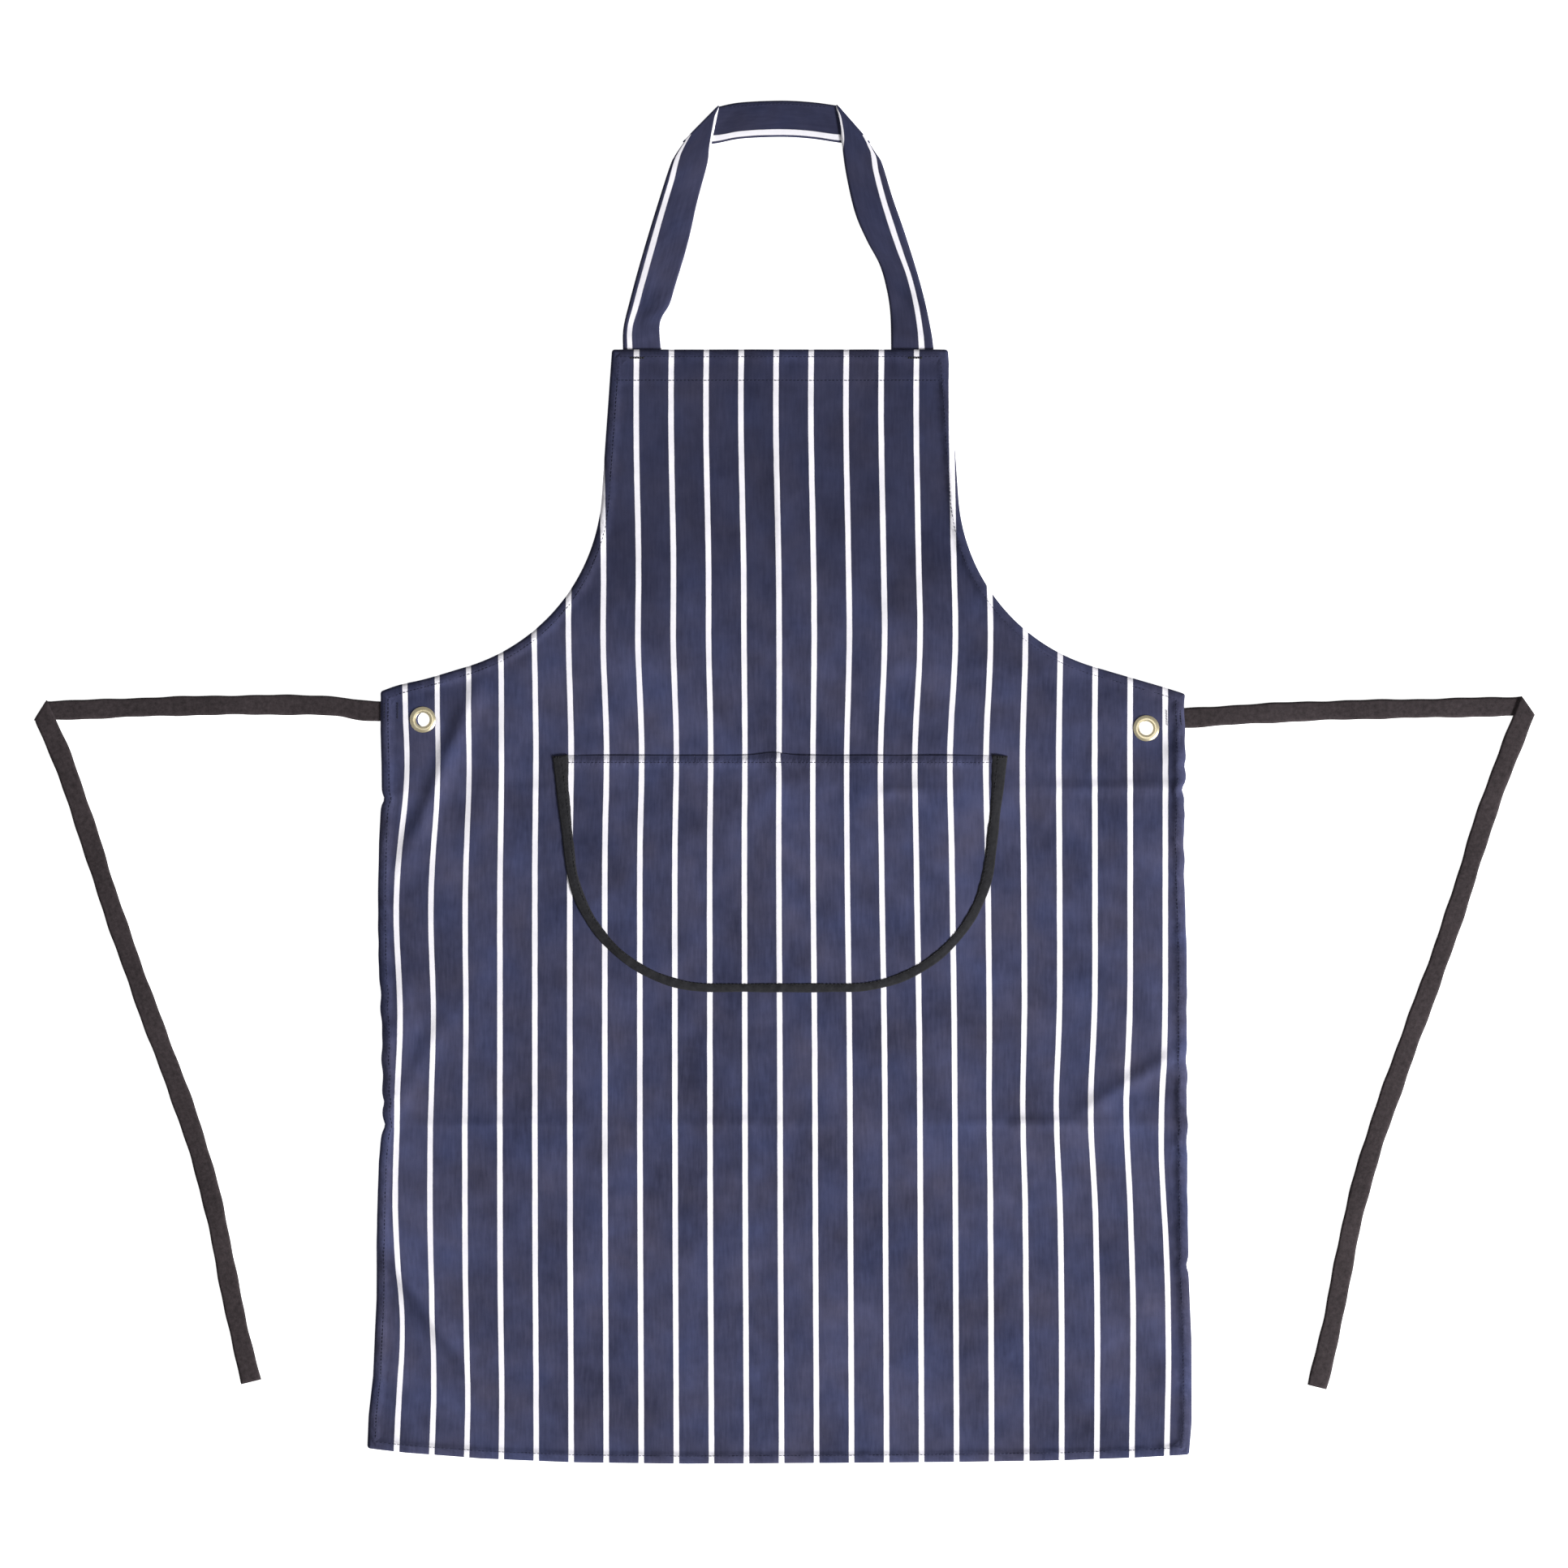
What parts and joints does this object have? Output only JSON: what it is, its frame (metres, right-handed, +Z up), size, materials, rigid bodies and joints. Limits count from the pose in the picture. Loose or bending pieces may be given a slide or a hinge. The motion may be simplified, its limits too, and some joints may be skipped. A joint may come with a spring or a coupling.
{
  "type": "butcher apron",
  "caption": "Flat-laid navy striped bib apron with a D-shaped patch pocket, neck strap loop, brass waist eyelets and long waist ties.",
  "frame": {"origin": "on the table under the centre line, midway between the bottom hem and the top of the neck strap", "axes": "+Z up out of the apron's face, +Y from the hem to the neck strap, +X to the viewer's right"},
  "size_m": [1.2931, 1.188, 0.0036],
  "materials": {
    "striped_twill": "matte",
    "black_tape": "matte",
    "brass": "polished",
    "navy_thread": "matte",
    "black_thread": "matte"
  },
  "bodies": {
    "skirt": {"skirt_panel": "striped_twill", "pocket_panel": "striped_twill", "pocket_binding": "black_tape", "left_eyelet": "brass", "right_eyelet": "brass", "left_eyelet_washer": "brass", "right_eyelet_washer": "brass", "left_tie_end": "black_tape", "right_tie_end": "black_tape", "bottom_hem_stitching": "navy_thread", "left_side_stitching": "navy_thread", "right_side_stitching": "navy_thread", "pocket_hem_stitching": "navy_thread", "pocket_binding_stitching": "black_thread", "left_pocket_bartack": "black_thread", "right_pocket_bartack": "black_thread", "left_tie_stitching": "black_thread", "right_tie_stitching": "black_thread"},
    "bib": {"bib_panel": "striped_twill", "left_strap_end": "striped_twill", "right_strap_end": "striped_twill", "bib_hem_stitching": "navy_thread", "left_armhole_stitching": "navy_thread", "right_armhole_stitching": "navy_thread", "left_strap_stitching": "black_thread", "right_strap_stitching": "black_thread"},
    "neck_strap": {"neck_strap": "striped_twill", "neck_strap_stitching": "navy_thread"},
    "left_tie": {"left_waist_tie": "black_tape"},
    "right_tie": {"right_waist_tie": "black_tape"}
  },
  "joints": [
    {"name": "bib_fold", "type": "hinge", "parent": "skirt", "child": "bib", "pos_m": [0, 0.097, 0.008], "axis": [1, 0, 0], "range_deg": [0, 179.9]},
    {"name": "neck_strap_lift", "type": "hinge", "parent": "bib", "child": "neck_strap", "pos_m": [0, 0.376, 0.004], "axis": [1, 0, 0], "range_deg": [0, 179.9]},
    {"name": "left_tie_swing", "type": "hinge", "parent": "skirt", "child": "left_tie", "pos_m": [-0.351, 0.0614, 0.0033], "axis": [0, 1, 0], "range_deg": [0, 179.9]},
    {"name": "right_tie_swing", "type": "hinge", "parent": "skirt", "child": "right_tie", "pos_m": [0.351, 0.0555, 0.0033], "axis": [0, -1, 0], "range_deg": [0, 179.9]}
  ]
}
